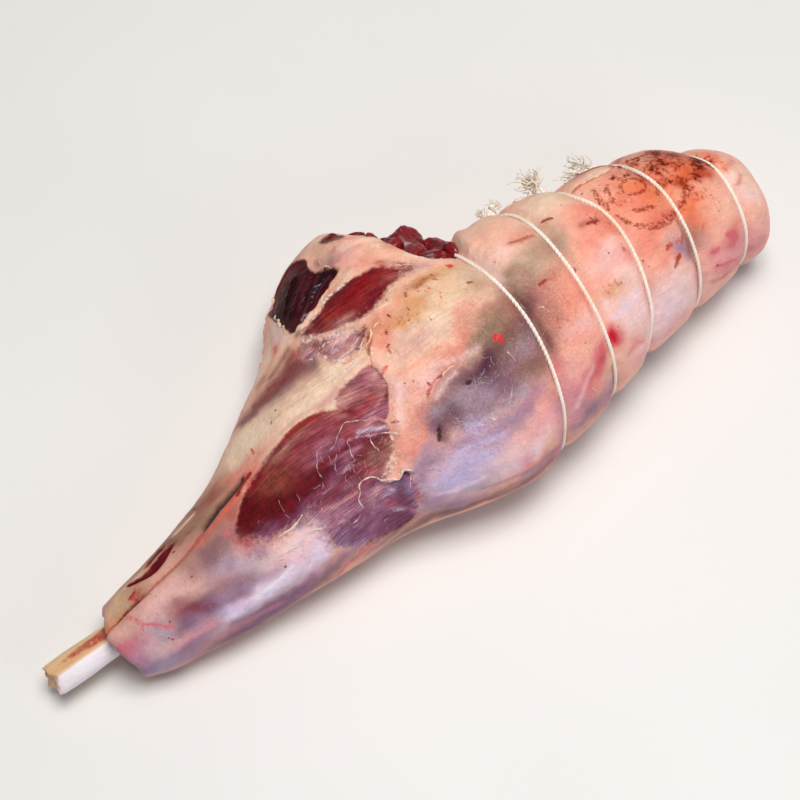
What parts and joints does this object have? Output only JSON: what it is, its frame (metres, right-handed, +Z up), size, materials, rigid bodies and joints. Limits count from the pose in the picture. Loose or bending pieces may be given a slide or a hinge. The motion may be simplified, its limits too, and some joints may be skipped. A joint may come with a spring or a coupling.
{
  "type": "raw mutton leg",
  "caption": "Whole raw bone-in leg of mutton with a rolled rump, tied round with butcher's twine, sawn shank bone showing at the narrow end.",
  "frame": {"origin": "on the flat underside, at the middle of the object's box in X and Y", "axes": "+X along the leg from the sawn shank bone to the butt end, +Y towards the thigh flap and the twine's knots, +Z up"},
  "size_m": [0.507, 0.199, 0.1171],
  "materials": {
    "meat": "moist raw meat under silverskin and a thin uneven cover of fat",
    "bone": "dry sawn bone, ochre with one pale side and a smear of blood",
    "twine": "twisted off-white cotton, frayed at its cut ends"
  },
  "bodies": {
    "root": {"meat": "meat", "shank_bone": "bone", "twine_1": "twine", "twine_2": "twine", "twine_3": "twine", "twine_4": "twine", "twine_5": "twine"}
  },
  "joints": []
}
